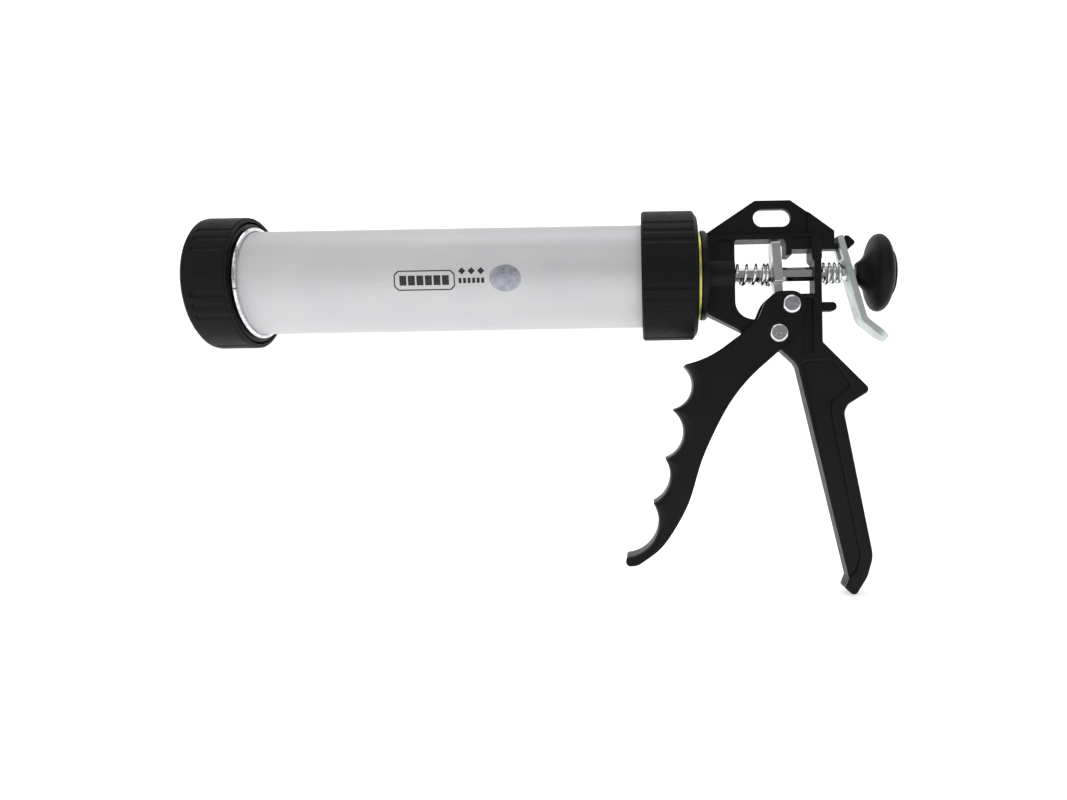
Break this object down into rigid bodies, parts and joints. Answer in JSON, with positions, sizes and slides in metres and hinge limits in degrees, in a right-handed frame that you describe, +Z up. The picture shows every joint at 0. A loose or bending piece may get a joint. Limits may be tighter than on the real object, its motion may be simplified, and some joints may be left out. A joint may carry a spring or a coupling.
{
  "type": "caulking gun",
  "caption": "Closed-barrel caulking gun with a swivelling aluminium tube, screwed plastic ends, cast frame with rear handle, fork trigger, hexagonal push rod and release lever.",
  "frame": {"origin": "centre of the nozzle bore at the front cap's outer face", "axes": "+X along the barrel from the nozzle end to the pull knob, +Z up to the hanging slot, Y across the gun"},
  "size_m": [0.3345, 0.0636, 0.1938],
  "materials": {
    "barrel_aluminium": "satin anodised tube",
    "turned_aluminium": "turned",
    "bright_steel": "bright plated",
    "black_plastic": "fine matt moulding",
    "black_rubber": "matt",
    "black_paint": "semi-gloss powder coat on casting",
    "yellow_zinc": "yellow passivated zinc",
    "zinc_steel": "zinc plated",
    "spring_steel": "bright zinc wire",
    "rod_steel": "drawn and polished",
    "knob_plastic": "matt moulding",
    "white_plastic": "natural",
    "lever_zinc": "clear zinc plate"
  },
  "bodies": {
    "frame": {"frame": "black_paint", "flange_washer": "yellow_zinc", "thrust_washer": "zinc_steel", "spigot_clip": "spring_steel", "drive_spring": "spring_steel", "release_spring": "spring_steel"},
    "barrel": {"barrel_tube": "barrel_aluminium", "front_collar": "black_paint", "rear_collar": "turned_aluminium", "front_snap_ring": "bright_steel", "rear_ring": "black_plastic"},
    "front_cap": {"front_cap": "black_plastic", "nozzle_gasket": "black_rubber"},
    "rod": {"push_rod": "rod_steel", "pull_knob": "knob_plastic", "piston_seal": "white_plastic", "piston_front_washer": "zinc_steel", "piston_back_plate": "zinc_steel", "piston_nut": "zinc_steel"},
    "trigger": {"trigger": "black_paint", "pivot_rivet": "bright_steel", "drive_pin": "bright_steel"},
    "drive_plate": {"drive_plate": "zinc_steel"},
    "release_lever": {"release_lever": "lever_zinc"}
  },
  "joints": [
    {"name": "trigger_squeeze", "type": "hinge", "parent": "frame", "child": "trigger", "pos_m": [0.2766, 0, -0.0296], "axis": [0, -1, 0], "range_deg": [0, 28], "stiffness_Nm_per_rad": 0.65, "springref_deg": -13.18},
    {"name": "plate_drive", "type": "slide", "parent": "frame", "child": "drive_plate", "axis": [-1, 0, 0], "range_m": [0, 0.00721], "deforming": ["drive_spring"]},
    {"name": "rod_slide", "type": "slide", "parent": "frame", "child": "rod", "axis": [1, 0, 0], "range_m": [0, 0.2]},
    {"name": "release_press", "type": "hinge", "parent": "frame", "child": "release_lever", "pos_m": [0.3079, 0, 0.0164], "axis": [0, 1, 0], "range_deg": [0, 15], "stiffness_Nm_per_rad": 0.54, "springref_deg": -8.59, "deforming": ["release_spring"]},
    {"name": "barrel_swivel", "type": "hinge", "parent": "frame", "child": "barrel", "pos_m": [0.235, 0, 0], "axis": [1, 0, 0], "continuous": true},
    {"name": "cap_off", "type": "slide", "parent": "barrel", "child": "front_cap", "axis": [-1, 0, 0], "range_m": [0, 0.045]}
  ],
  "couplings": [
    {"joint": "plate_drive", "follows": "trigger_squeeze", "m_per_rad": 0.014733}
  ]
}
